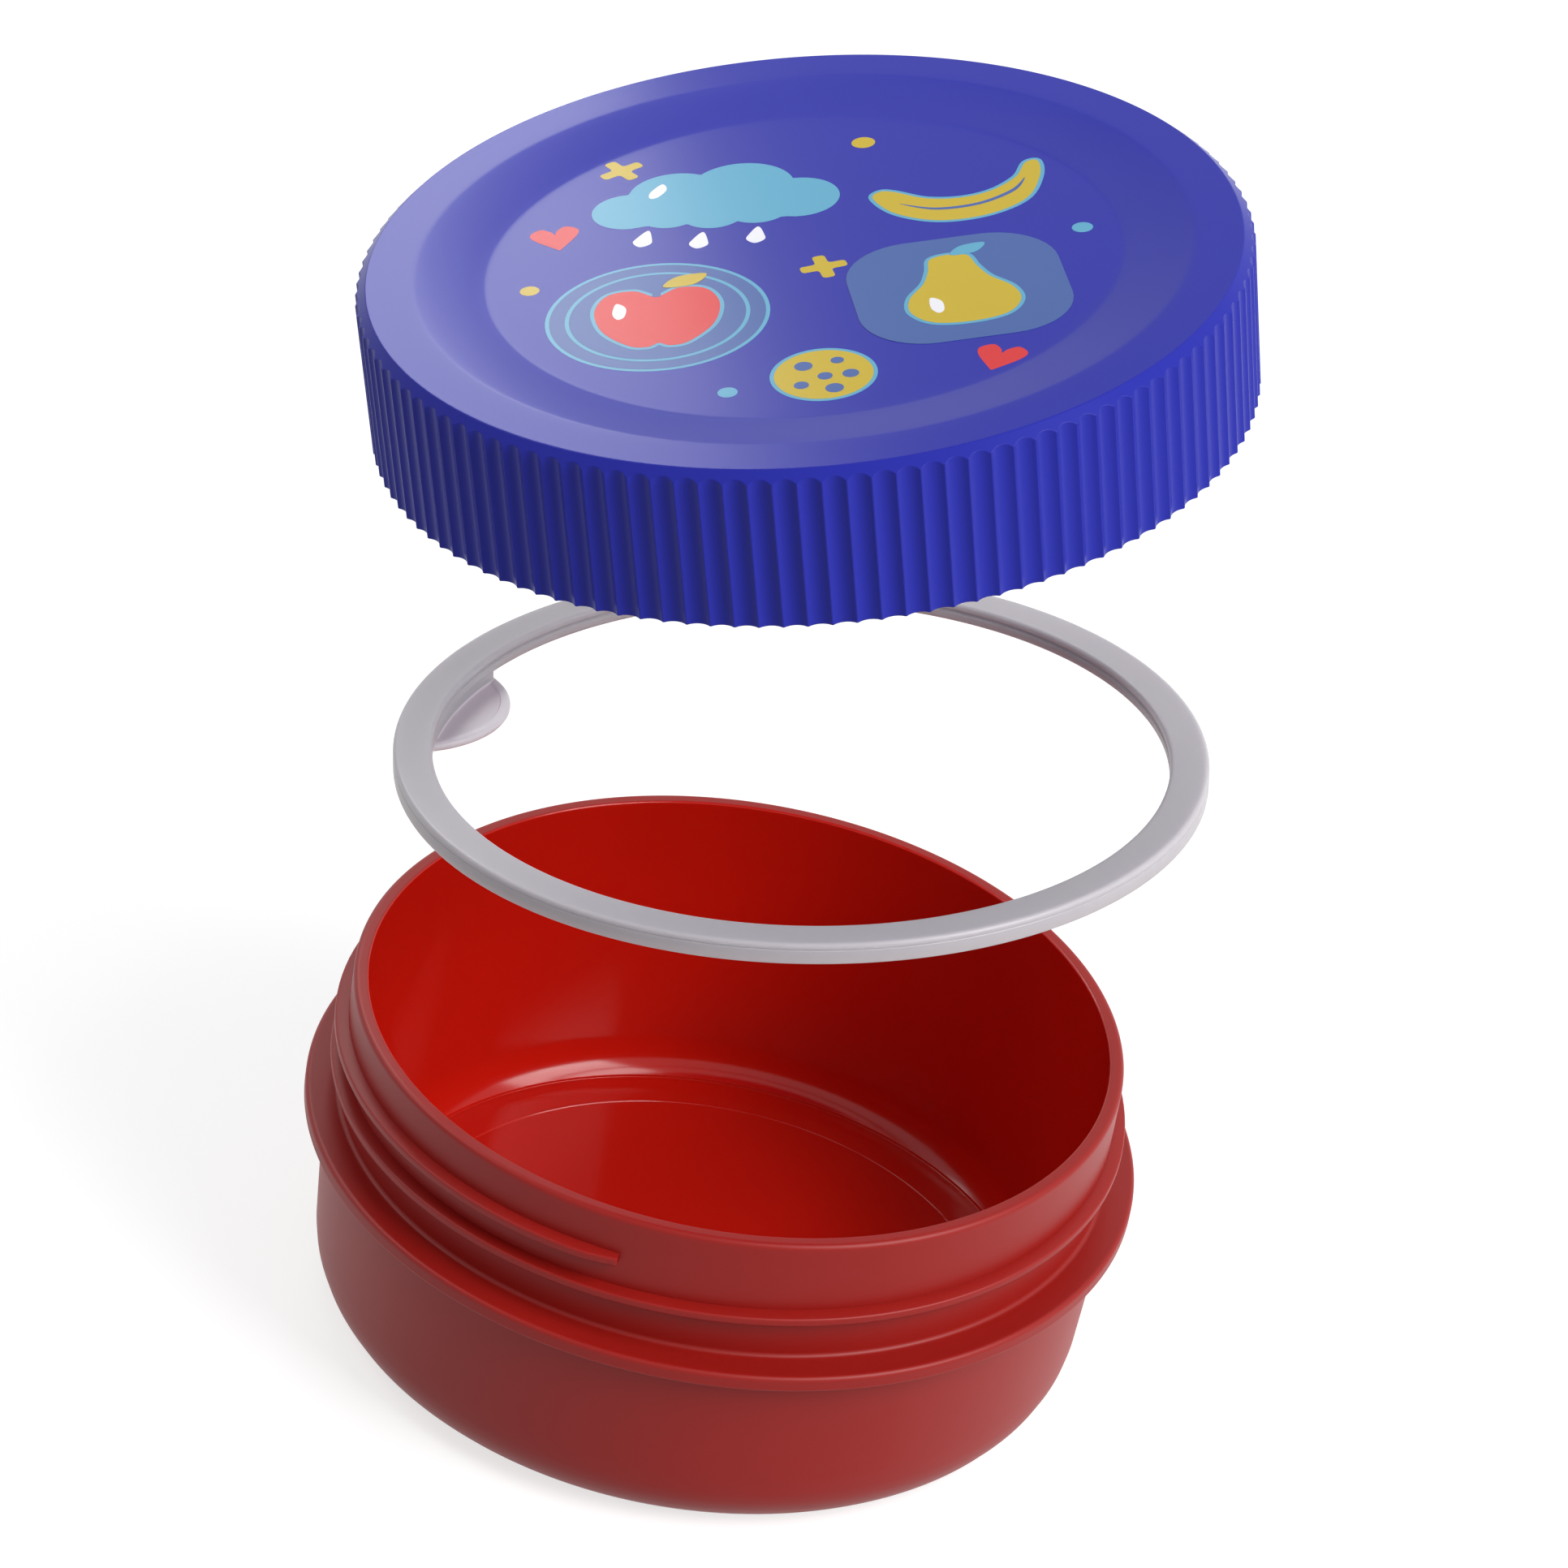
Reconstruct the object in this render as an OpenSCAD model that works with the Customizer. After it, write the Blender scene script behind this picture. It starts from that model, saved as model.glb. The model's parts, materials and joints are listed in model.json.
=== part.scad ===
// Snack container for a small child: a screw-neck cup, its soft seal ring and a fluted screw lid.
// Each piece is drawn as it sits in the closed container, on the cup's own axis, and is then
// swung clear of the piece below it, because the container is shown taken apart.
// Z is up, the origin is the centre of the cup's base, and all sizes are millimetres.

/* [Cup] */
// Height of the cup from its base to its rim
cup_h = 47.1; // [42:0.1:70]
// Inner radius of the cup at its rim
cup_bore_r = 49.3; // [40:0.1:60]
// Thickness of the neck's wall
neck_wall = 2; // [1.6:0.1:3]
// Rounding of the rim's outer edge
rim_round = 0.7; // [0.3:0.05:0.9]
// Distance from the rim down to the top of the flange
flange_drop = 17.5; // [16.5:0.1:22]
// Thickness of the flange at its outer edge
flange_t = 2.1; // [1.2:0.1:3]
// How far the flange stands out past the lid's ribs
flange_proud = 0.9; // [0.4:0.1:3]
// How far the bowl's wall stands out past the neck under the flange
bowl_step = 1.8; // [0.8:0.1:2.5]
// How much the bowl's radius shrinks from the flange down to its rounded foot
bowl_draft = 1.5; // [0.5:0.1:4]
// Radius of the bowl's rounded foot
foot_round = 8; // [5:0.1:12]
// Rounding of the rim's inner edge
rim_inner_round = 0.35; // [0.2:0.05:0.6]
// Rounding of the flange's upper edge
flange_round = 0.6; // [0.3:0.05:0.8]
// Radius of the fillet between the flange and the neck
flange_fillet = 0.6; // [0.3:0.05:1]
// How much the bore's radius shrinks from the rim down to the floor
bore_draft = 0.6; // [0.2:0.05:1.5]
// Height of the flat disc in the middle of the floor above the table
floor_h = 1.9; // [1.6:0.05:4]
// Radius of that disc
floor_disc_r = 40.8; // [30:0.1:43]
// Depth of the crease round the disc
floor_crease_h = 0.12; // [0.1:0.02:0.3]
// Rise of the floor from the disc out to the step
floor_rise = 0.4; // [0.2:0.05:1]
// Height of the fine step round the floor
floor_step_h = 0.35; // [0.2:0.05:0.6]
// Radius of the fillet that runs from that step up into the inner wall
floor_round = 7; // [5:0.1:8]
// Angle that this fillet turns through before it ends at the step
floor_round_angle = 50; // [40:1:60]
// Width of the flat ring that the cup stands on
foot_ring_w = 5; // [3:0.1:10]
// Depth of the hollow inside that ring
foot_ring_h = 0.4; // [0.2:0.05:0.6]

/* [Thread] */
// Rise of the thread for each full turn
thread_pitch = 5; // [4.6:0.1:6]
// Turns of the cup's thread
cup_thread_turns = 1.4; // [0.8:0.05:1.6]
// Height of the cup's thread above the neck
cup_thread_h = 1.75; // [1.2:0.05:2.2]
// Depth of the middle of the thread's upper end below the rim
thread_start_drop = 6.2; // [5:0.1:7]
// Half the width of either thread at its root
thread_root_half = 0.95; // [0.7:0.05:1.1]
// Half the width of either thread at its crest
thread_crest_half = 0.55; // [0.4:0.05:0.65]
// Azimuth of the upper end of the cup's thread
thread_start_az = 259; // [0:1:359]
// Azimuth that the upper end takes to rise from the neck to full height
thread_fade_az = 22; // [10:1:60]
// Height of the thread's upper end, as a part of its full height
thread_end_part = 0.3; // [0.2:0.05:1]
// Turns of the lid's thread
lid_thread_turns = 1.25; // [0.8:0.05:1.3]
// Height of the lid's thread above the lid's bore
lid_thread_h = 0.8; // [0.7:0.05:1]
// Gap left between the two threads' flanks
thread_flank_gap = 0.4; // [0.3:0.05:0.6]
// How far both threads are let into the walls that carry them
thread_sink = 0.4; // [0.2:0.05:0.6]

/* [Lid] */
// Thickness of the lid's top plate over the seal
lid_top_t = 1.9; // [1.5:0.1:3]
// Thickness of the lid's skirt behind a flute
lid_wall = 1; // [0.9:0.05:2]
// Running gap between the cup's thread and the lid's bore
lid_run_gap = 0.35; // [0.3:0.05:0.8]
// Gap between the closed lid's lower edge and the flange
lid_edge_gap = 1.4; // [0.5:0.1:3]
// Number of flutes round the skirt
flute_count = 120; // [72:1:132]
// Depth of a flute
flute_depth = 0.5; // [0.3:0.05:0.7]
// Width of the sharp rib left between two flutes
flute_rib_w = 0.14; // [0.1:0.02:0.4]
// Height of the chamfer round the top edge
lid_chamfer_h = 1.3; // [0.8:0.1:2]
// Width of that chamfer, measured across the top
lid_chamfer_w = 1.4; // [0.8:0.1:2]
// Width of the flat ring round the top
lid_ring_w = 5.85; // [4:0.05:9]
// Width of the shallow slope inside that ring
lid_slope_w = 8.75; // [5:0.05:12]
// Depth of the printed disc below the flat ring
lid_sink = 1.6; // [0.8:0.1:2]
// Bevel at the foot of the lid's bore
lid_bevel = 0.35; // [0.2:0.05:0.6]
// Height of the rib that keeps the seal in place under the top
seal_rib_h = 2.2; // [1.5:0.1:2.6]
// Thickness of that rib
seal_rib_w = 1.2; // [1:0.1:2]
// Gap between that rib and the seal's inner wall
seal_rib_gap = 0.3; // [0.3:0.05:0.6]

/* [Seal] */
// Height of the seal ring
seal_h = 2.75; // [2.2:0.05:4]
// How far the ring reaches in past the cup's bore
seal_overhang = 2.3; // [2:0.1:4]
// Gap between the ring's edge and the crest of the lid's thread
seal_pass_gap = 0.6; // [0.6:0.05:0.75]
// Rounding of the ring's edges
seal_round = 0.45; // [0.2:0.05:0.6]
// Depth of the channel under the ring that takes the rim
seal_channel_h = 0.5; // [0.3:0.05:0.8]
// Gap on each side of the rim in that channel
seal_channel_gap = 0.3; // [0.2:0.05:0.5]
// Depth of the fine groove round the ring's inner wall
seal_groove_h = 0.3; // [0.15:0.05:0.5]
// Azimuth of the pull tab on the closed container
tab_az = 165; // [0:1:359]
// Radius of the pull tab's curved edge
tab_edge_r = 12.9; // [10:0.1:16]
// How far the pull tab reaches in past the ring
tab_reach = 5.7; // [4:0.1:9]
// Height of the neck that the pull tab hangs from
tab_neck_h = 1.5; // [1:0.1:3]
// Thickness of the pull tab
tab_t = 1.3; // [1:0.1:2]
// Thickness of the neck that the pull tab hangs from
tab_neck_w = 1.2; // [0.8:0.1:1.4]
// Angle round the ring that this neck takes
tab_neck_az = 22.8; // [12:0.2:26]

/* [Shown apart] */
// Gap left between flat faces that meet in the closed container
seat_gap = 0.1; // [0.1:0.05:0.3]
// Place of the seal's swing axis to the right of the cup's own axis
seal_pivot_x = -244.3; // [-400:0.1:-100]
// Place of that axis behind the cup's own axis
seal_pivot_y = 130; // [50:0.1:250]
// Height of that axis above the rim
seal_pivot_rise = 46.9; // [0:0.1:80]
// Azimuth of that axis
seal_swing_az = -118.6; // [-180:0.1:180]
// Elevation of that axis
seal_swing_el = -3.9; // [-20:0.1:20]
// Angle that the seal is swung from its seat
seal_swing = 8.66; // [8:0.01:12]
// Place of the lid's swing axis to the right of the cup's own axis, before the seal is swung
lid_pivot_x = -352.2; // [-600:0.1:-200]
// Place of that axis behind the cup's own axis
lid_pivot_y = -395; // [-600:0.1:-200]
// Height of that axis above the rim
lid_pivot_rise = 11.9; // [0:0.1:60]
// Azimuth of that axis
lid_swing_az = -41.7; // [-180:0.1:180]
// Elevation of that axis
lid_swing_el = -1.3; // [-20:0.1:20]
// Angle that the lid is swung from its seat
lid_swing = 7.34; // [7:0.01:10]

/* [Hidden] */
$fn = 180;

// cup
neck_r = cup_bore_r + neck_wall;
cup_crest_r = neck_r + cup_thread_h;
flange_top_z = cup_h - flange_drop;
flange_low_z = flange_top_z - flange_t;
bowl_top_r = neck_r + bowl_step;
bowl_low_r = bowl_top_r - bowl_draft;
cavity_low_r = cup_bore_r - bore_draft;

// lid
lid_bore_r = cup_crest_r + lid_run_gap;
lid_crest_r = lid_bore_r - lid_thread_h;
flute_floor_r = lid_bore_r + lid_wall;
lid_r = flute_floor_r + flute_depth;
flange_r = lid_r + flange_proud;
lid_top_r = lid_r - lid_chamfer_w;
slope_r = lid_top_r - lid_ring_w;
disc_r = slope_r - lid_slope_w;
flute_chord = 2 * lid_r * sin(180 / flute_count) - flute_rib_w;
flute_rise = flute_depth - lid_r * (1 - cos(180 / flute_count));
flute_r = (flute_chord * flute_chord / 4 + flute_rise * flute_rise) / (2 * flute_rise);

// stack of the closed container
seal_low_z = cup_h + seat_gap - seal_channel_h;
seal_top_z = seal_low_z + seal_h;
ceiling_z = seal_top_z + seat_gap;
lid_top_z = ceiling_z + lid_top_t;
lid_low_z = flange_top_z + lid_edge_gap;

// seal
seal_r = lid_crest_r - seal_pass_gap;
seal_bore_r = cup_bore_r - seal_overhang;
tab_centre_r = seal_bore_r - tab_reach + tab_edge_r;
tab_lip_step = 0.1;

// thread
turn_steps = 72;
thread_start_z = cup_h - thread_start_drop;
lid_thread_drop = thread_root_half + thread_crest_half + thread_flank_gap;
lid_thread_lead = 0.2;

// swing axes
seal_pivot = [seal_pivot_x, seal_pivot_y, cup_h + seal_pivot_rise];
lid_pivot = [lid_pivot_x, lid_pivot_y, cup_h + lid_pivot_rise];

// how far a cutting shape runs past what it cuts
over = 1;

// Points of an arc from angle a to angle b, in the plane of a turned outline
function arc(cx, cy, r, a, b, steps = 8) =
    [for (i = [0:steps]) let (v = a + (b - a) * i / steps) [cx + r * cos(v), cy + r * sin(v)]];

// Unit vector at an azimuth and an elevation
function toward(az, el) = [cos(el) * cos(az), cos(el) * sin(az), sin(el)];

// Corners of the thread's section at one azimuth: two at its inner radius, two at its outer
function thread_section(az, z, in_r, out_r, in_half, out_half) = [
    [in_r * cos(az), in_r * sin(az), z + in_half],
    [out_r * cos(az), out_r * sin(az), z + out_half],
    [out_r * cos(az), out_r * sin(az), z - out_half],
    [in_r * cos(az), in_r * sin(az), z - in_half]
];

// Both threads share this helix: a turn t from its start lies here
function helix_az(t) = thread_start_az - 360 * t;
function helix_z(t) = thread_start_z - thread_pitch * t;

// Height of the cup's thread at turn t, as a part of its full height
function thread_part(t) =
    min(1, thread_end_part + (1 - thread_end_part) * t * 360 / thread_fade_az);

// Closed skin over a row of four-cornered sections
module skin(sections) {
    last = len(sections) - 1;
    polyhedron(
        points = [for (s = sections) each s],
        faces = concat(
            [[3, 2, 1], [3, 1, 0]],
            [for (i = [0:last - 1], k = [0:3]) each [
                [i * 4 + k, i * 4 + (k + 1) % 4, i * 4 + 4 + (k + 1) % 4],
                [i * 4 + k, i * 4 + 4 + (k + 1) % 4, i * 4 + 4 + k]
            ]],
            [[last * 4, last * 4 + 1, last * 4 + 2], [last * 4, last * 4 + 2, last * 4 + 3]]
        ),
        convexity = 6
    );
}

module cup_thread() {
    steps = round(cup_thread_turns * turn_steps);
    skin([for (i = [0:steps])
        let (t = cup_thread_turns * i / steps)
        let (part = min(thread_part(t), thread_part(cup_thread_turns - t)))
        thread_section(helix_az(t), helix_z(t), neck_r - thread_sink, neck_r + cup_thread_h * part,
            thread_root_half, thread_crest_half)
    ]);
}

module lid_thread() {
    steps = round(lid_thread_turns * turn_steps);
    skin([for (i = [0:steps])
        let (t = lid_thread_turns * i / steps - lid_thread_lead)
        thread_section(helix_az(t), helix_z(t) - lid_thread_drop, lid_crest_r,
            lid_bore_r + thread_sink, thread_crest_half, thread_root_half)
    ]);
}

// Outline of the cup's wall, from the middle of the floor out and up to the rim and back inside
module cup_outline() {
    hollow_r = bowl_low_r - foot_round - foot_ring_w;
    step_r = cavity_low_r - floor_round * (1 - cos(floor_round_angle));
    step_z = floor_h + floor_rise + floor_step_h;
    polygon(concat(
        [[0, foot_ring_h], [hollow_r, foot_ring_h], [hollow_r + foot_ring_h, 0]],
        arc(bowl_low_r - foot_round, foot_round, foot_round, -90, 0, 14),
        [[bowl_top_r, flange_low_z], [flange_r, flange_low_z]],
        arc(flange_r - flange_round, flange_top_z - flange_round, flange_round, 0, 90, 5),
        arc(neck_r + flange_fillet, flange_top_z + flange_fillet, flange_fillet, 270, 180, 5),
        arc(neck_r - rim_round, cup_h - rim_round, rim_round, 0, 90, 6),
        arc(cup_bore_r + rim_inner_round, cup_h - rim_inner_round, rim_inner_round, 90, 180, 4),
        arc(cavity_low_r - floor_round, step_z + floor_round * sin(floor_round_angle), floor_round,
            0, -floor_round_angle, 10),
        [
            [step_r - floor_step_h / 3, step_z - floor_step_h],
            [floor_disc_r, floor_h + floor_crease_h],
            [floor_disc_r - floor_crease_h, floor_h],
            [0, floor_h]
        ]
    ));
}

module cup() {
    color("#a02a22") union() {
        rotate_extrude() cup_outline();
        cup_thread();
    }
}

// Outline of the seal ring: flat top, fine groove inside, channel for the rim underneath
module seal_outline() {
    groove_z = seal_low_z + seal_h * 0.55;
    channel_in = cup_bore_r - seal_channel_gap;
    channel_out = neck_r + seal_channel_gap;
    e = seal_round;
    difference() {
        polygon(concat(
            arc(seal_bore_r + e, seal_top_z - e, e, 180, 90, 4),
            arc(seal_r - e, seal_top_z - e, e, 90, 0, 4),
            arc(seal_r - e / 2, seal_low_z + e / 2, e / 2, 0, -90, 3),
            arc(seal_bore_r + e, seal_low_z + e, e, 270, 180, 4),
            [
                [seal_bore_r, groove_z - seal_groove_h],
                [seal_bore_r + seal_groove_h, groove_z],
                [seal_bore_r, groove_z + seal_groove_h]
            ]
        ));
        translate([channel_in, seal_low_z - over])
            square([channel_out - channel_in, seal_channel_h + over]);
    }
}

// Pull tab: a short neck down from the ring, then a lip with a curved edge that reaches in
module pull_tab() {
    neck_in_r = seal_bore_r + seal_round;
    lip_top_z = seal_low_z - tab_neck_h;
    rotate([0, 0, tab_az]) {
        translate([0, 0, lip_top_z - tab_t]) linear_extrude(tab_t)
            intersection() {
                circle(r = neck_in_r + tab_neck_w + tab_lip_step);
                translate([tab_centre_r, 0]) circle(r = tab_edge_r);
            }
        rotate([0, 0, -tab_neck_az / 2]) rotate_extrude(angle = tab_neck_az)
            translate([neck_in_r, lip_top_z - tab_t / 2])
                square([tab_neck_w, tab_neck_h + tab_t / 2 + seal_round]);
    }
}

module seal_upright() {
    rotate_extrude() seal_outline();
    pull_tab();
}

// Outline of the lid before its flutes are cut, from the middle of the top out and round inside
module lid_outline() {
    rib_out_r = seal_bore_r - seal_rib_gap;
    rib_in_r = rib_out_r - seal_rib_w;
    rib_low_z = ceiling_z - seal_rib_h;
    under_slope_z = lid_top_z - lid_sink * (slope_r - rib_in_r) / lid_slope_w - lid_top_t;
    under_disc_z = lid_top_z - lid_sink - lid_top_t;
    polygon([
        [0, lid_top_z - lid_sink], [disc_r, lid_top_z - lid_sink],
        [slope_r, lid_top_z], [lid_top_r, lid_top_z],
        [lid_r, lid_top_z - lid_chamfer_h], [lid_r, lid_low_z],
        [lid_bore_r + lid_bevel, lid_low_z], [lid_bore_r, lid_low_z + lid_bevel],
        [lid_bore_r, ceiling_z], [rib_out_r, ceiling_z],
        [rib_out_r, rib_low_z], [rib_in_r, rib_low_z],
        [rib_in_r, under_slope_z], [disc_r, under_disc_z], [0, under_disc_z]
    ]);
}

// Flat plan of the skirt: a disc with a round flute cut between every two ribs
module fluted_disc() {
    difference() {
        circle(r = lid_r);
        for (i = [0:flute_count - 1])
            rotate([0, 0, 360 * i / flute_count])
                translate([flute_floor_r + flute_r, 0]) circle(r = flute_r, $fn = 48);
    }
}

module lid_upright() {
    intersection() {
        rotate_extrude() lid_outline();
        translate([0, 0, lid_low_z - over])
            linear_extrude(lid_top_z - lid_low_z + 2 * over) fluted_disc();
    }
    lid_thread();
}

// Turn what follows about an axis through a pivot
module swing(pivot, axis, angle) {
    translate(pivot) rotate(a = angle, v = axis) translate(-pivot) children();
}

module off_cup() {
    swing(seal_pivot, toward(seal_swing_az, seal_swing_el), seal_swing) children();
}

module off_seal() {
    off_cup() swing(lid_pivot, toward(lid_swing_az, lid_swing_el), lid_swing) children();
}

module seal_ring() {
    color("#c3bdc4") off_cup() seal_upright();
}

module lid() {
    color("#2b33b0") off_seal() lid_upright();
}

cup();
seal_ring();
lid();
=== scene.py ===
"""Finished look of a toddler's snack container: a screw-neck cup, its soft seal ring and a fluted lid.

Every piece is drawn on the cup's own axis, as it sits in the closed container, and is then carried to
the place that the frame's joints give it at rest, where the three pieces are shown apart.
Sizes are metres, Z is up, and the origin is the centre of the ring that the cup stands on.
"""

import json
import math

import bmesh
import bpy
from bpy.props import FloatProperty, FloatVectorProperty, IntProperty, PointerProperty
from bpy.types import Operator, Panel, PropertyGroup
from mathutils import Matrix, Vector


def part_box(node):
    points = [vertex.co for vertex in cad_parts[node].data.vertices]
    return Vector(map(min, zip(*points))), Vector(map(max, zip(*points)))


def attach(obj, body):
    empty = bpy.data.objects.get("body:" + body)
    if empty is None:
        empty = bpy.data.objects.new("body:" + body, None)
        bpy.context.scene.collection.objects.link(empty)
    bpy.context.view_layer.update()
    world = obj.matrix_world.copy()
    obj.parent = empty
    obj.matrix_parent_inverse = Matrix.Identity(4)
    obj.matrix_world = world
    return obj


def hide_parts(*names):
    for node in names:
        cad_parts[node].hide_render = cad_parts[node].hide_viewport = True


bl_info = {
    "name": "Snack container",
    "version": (1, 0, 0),
    "blender": (4, 5, 0),
    "location": "View3D > Sidebar > Snack container",
    "description": "Makes a screw-top snack container for a toddler around its packed frame",
    "category": "Object",
}

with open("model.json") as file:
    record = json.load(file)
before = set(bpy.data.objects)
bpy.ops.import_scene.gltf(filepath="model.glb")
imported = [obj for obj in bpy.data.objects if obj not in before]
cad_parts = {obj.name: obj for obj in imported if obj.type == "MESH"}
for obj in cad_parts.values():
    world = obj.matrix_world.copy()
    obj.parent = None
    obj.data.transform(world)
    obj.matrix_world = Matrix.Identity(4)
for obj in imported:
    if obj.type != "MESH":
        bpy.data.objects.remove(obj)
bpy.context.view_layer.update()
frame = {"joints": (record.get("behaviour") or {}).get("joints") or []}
JOINTS = {joint["name"]: joint for joint in frame["joints"]}
CARRIED_BY = {"cup": (), "seal": ("seal_lift",), "lid": ("seal_lift", "lid_lift")}
CUP_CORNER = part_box("cup")[1]
MM = 0.001
SLACK = 0.2 * MM  # how far a finish reaches past the edge that it follows
DOUBLES = 0.001 * MM  # points nearer than this are one point
LIGHT_AIM = Vector((0, 0, 0.1))


# ---------------- sizes and colours

def length(name, description, default):
    """A size in metres that a user can change."""
    return FloatProperty(
        name=name, description=description, default=default, min=0, unit="LENGTH", precision=5)


def angle(name, description, degrees):
    """An angle that a user can change, given in degrees."""
    return FloatProperty(
        name=name, description=description, default=math.radians(degrees), subtype="ANGLE")


def turns(name, description, default, most):
    """A number of turns that a user can change."""
    return FloatProperty(name=name, description=description, default=default, min=0.5, max=most)


def colour(name, description, default):
    """A colour that a user can change, given as red, green and blue out of 255, as on a screen."""
    return FloatVectorProperty(
        name=name, description=description, default=[screen_to_light(c) for c in default],
        subtype="COLOR", size=3, min=0, max=1,
    )


def share(name, description, default):
    """A value from 0 to 1 that a user can change."""
    return FloatProperty(name=name, description=description, default=default, min=0, max=1)


def screen_to_light(value):
    """Linear light from a screen's value out of 255."""
    value = value / 255
    return value / 12.92 if value <= 0.04045 else ((value + 0.055) / 1.055) ** 2.4


class CupSizes(PropertyGroup):
    """Sizes of the cup."""

    height: length("Height", "From the base to the rim", CUP_CORNER.z)
    bore: length("Bore", "Inner radius at the rim", 49.3 * MM)
    wall: length("Neck wall", "Thickness of the neck's wall", 2.0 * MM)
    flange_radius: length("Flange radius", "Outer radius of the flange", CUP_CORNER.x)
    flange_drop: length("Flange drop", "From the rim down to the flange's top", 17.5 * MM)
    flange_thickness: length("Flange thickness", "Thickness of the flange at its edge", 2.1 * MM)
    bowl_step: length("Bowl step", "How far the bowl's top stands out past the neck", 1.8 * MM)
    bowl_draft: length("Bowl draft", "How much the bowl narrows down to its foot", 1.5 * MM)
    foot_round: length("Foot round", "Radius of the bowl's rounded foot", 8.0 * MM)
    foot_ring: length("Foot ring", "Width of the ring that the cup stands on", 5.0 * MM)
    foot_hollow: length("Foot hollow", "Depth of the hollow inside that ring", 0.4 * MM)
    bore_draft: length("Bore draft", "How much the bore narrows from the rim down to the floor", 0.6 * MM)
    floor: length("Floor", "Height of the floor's disc above the table", 1.9 * MM)
    floor_disc: length("Floor disc", "Radius of that disc", 40.8 * MM)
    floor_crease: length("Floor crease", "Depth of the crease round the disc", 0.12 * MM)
    floor_rise: length("Floor rise", "Rise of the floor from the disc out to the step", 0.4 * MM)
    floor_step: length("Floor step", "Height of the fine step round the floor", 0.35 * MM)
    floor_round: length("Floor fillet", "Radius of the fillet from the step up into the wall", 7.0 * MM)
    floor_turn: angle("Fillet angle", "Angle that this fillet turns", 50)


class ThreadSizes(PropertyGroup):
    """Sizes that the cup's and the lid's threads share."""

    pitch: length("Pitch", "Rise for each full turn", 5.0 * MM)
    cup_turns: turns("Cup turns", "Turns of the cup's thread", 1.4, 1.6)
    lid_turns: turns("Lid turns", "Turns of the lid's thread", 1.25, 1.3)
    lid_lead: share("Lead", "Turns that the lid's thread runs on past the upper end of the cup's", 0.2)
    cup_height: length("Cup thread", "Height of the cup's thread above the neck", 1.75 * MM)
    lid_height: length("Lid thread", "Height of the lid's thread above its bore", 0.8 * MM)
    root_width: length("Root width", "Width of a thread at its root", 1.9 * MM)
    crest_width: length("Crest width", "Width of a thread at its crest", 1.1 * MM)
    flank_gap: length("Flank gap", "Gap between the flanks of the two threads", 0.4 * MM)
    sunk: length("Sunk", "How far a thread is let into the wall that carries it", 0.4 * MM)
    start_drop: length("Start drop", "From the rim down to the thread's upper end", 6.2 * MM)
    start_azimuth: angle("Start", "Azimuth of the upper end", 259)
    fade: angle("Fade", "Turn in which an end rises to full height", 5)
    blunt: share("Blunt", "Share of the full height that a thread's end starts with", 0.65)
    steps: IntProperty(name="Steps", description="Steps in each turn", default=160, min=24)


class SealSizes(PropertyGroup):
    """Sizes of the seal ring and its pull tab."""

    radius: length("Outer radius", "Outer radius of the ring", 52.0 * MM)
    bore: length("Bore", "Inner radius of the ring", 47.0 * MM)
    height: length("Height", "Height of the ring", 2.75 * MM)
    seat_gap: length("Seat gap", "Gap between the ring and the rim that it seals", 0.1 * MM)
    rounding: length("Rounding", "Rounding of the ring's edges", 0.5 * MM)
    channel_gap: length("Channel gap", "Gap on each side of the rim in the channel", 0.3 * MM)
    channel: length("Channel depth", "Depth of the channel under the ring", 0.5 * MM)
    groove: length("Groove", "Depth of the groove round the inner wall", 0.3 * MM)
    groove_height: share("Groove height", "Height of that groove, as a share of the ring's", 0.55)
    line: length("Line", "Depth of the fine line round the outer wall", 0.12 * MM)
    line_drop: length("Line drop", "From the top of the ring down to that line", 0.85 * MM)
    tab_azimuth: angle("Tab azimuth", "Azimuth of the pull tab when closed", 165)
    tab_edge: length("Tab edge", "Radius of the tab's curved edge", 12.9 * MM)
    tab_reach: length("Tab reach", "How far the tab reaches in past the ring", 5.7 * MM)
    tab_drop: length("Tab drop", "Height of the neck that the tab hangs from", 1.5 * MM)
    tab_thickness: length("Tab thickness", "Thickness of the tab", 1.3 * MM)
    tab_round: share("Tab round", "Rounding of the tab's edge, as a share of its thickness", 0.45)
    tab_border: length("Tab border", "Width of the raised border round the tab's top", 1.2 * MM)
    tab_dish: length("Tab dish", "Depth of the shallow dish inside that border", 0.18 * MM)
    tab_neck: length("Neck thickness", "Thickness of the neck", 1.2 * MM)
    tab_angle: angle("Neck angle", "Angle round the ring that the neck takes", 22.8)


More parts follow.
